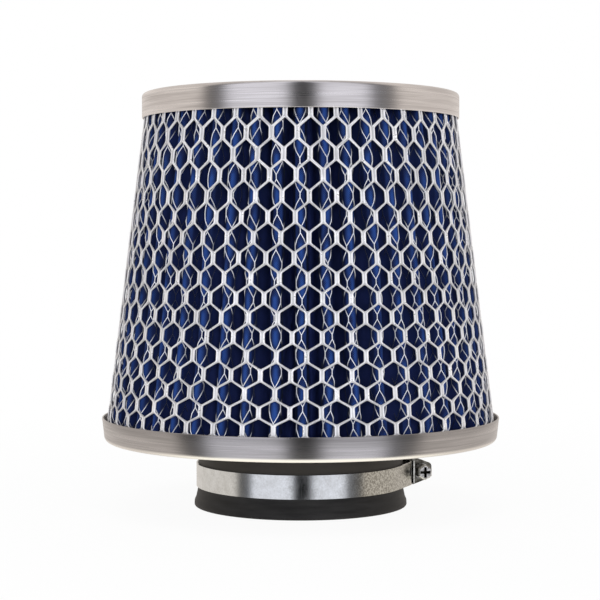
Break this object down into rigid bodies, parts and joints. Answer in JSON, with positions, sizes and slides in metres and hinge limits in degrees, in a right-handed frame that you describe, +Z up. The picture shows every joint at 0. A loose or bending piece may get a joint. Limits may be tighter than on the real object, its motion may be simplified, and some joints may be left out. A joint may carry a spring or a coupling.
{
  "type": "conical air filter",
  "caption": "Conical pleated air filter with a hexagon metal cage, pressed end caps, and a rubber neck with a worm-drive clamp.",
  "frame": {"origin": "centre of the neck's mouth, on the plane that the filter stands on", "axes": "+Z up the filter's axis towards the closed cap, the clamp's housing near +X with its screw head towards -Y"},
  "size_m": [0.1562, 0.1562, 0.1616],
  "materials": {
    "cap_metal": "brushed bright sheet",
    "mesh_metal": "bright expanded sheet",
    "blue_gauze": "oiled blue cotton gauze",
    "potting": "cast polyurethane",
    "neck_rubber": "moulded matt black",
    "clamp_steel": "zinc plated"
  },
  "bodies": {
    "filter": {"top_cap": "cap_metal", "base_cap": "cap_metal", "upper_potting": "potting", "lower_potting": "potting", "rubber_neck": "neck_rubber", "outer_mesh": "mesh_metal", "inner_mesh": "mesh_metal", "pleated_media": "blue_gauze", "clamp_band": "clamp_steel", "clamp_housing": "clamp_steel"},
    "screw": {"clamp_screw": "clamp_steel"}
  },
  "joints": [
    {"name": "clamp_screw_turn", "type": "hinge", "parent": "filter", "child": "screw", "pos_m": [0.04636, 0.01242, 0.0123], "axis": [0.2588, -0.9659, 0], "continuous": true}
  ]
}
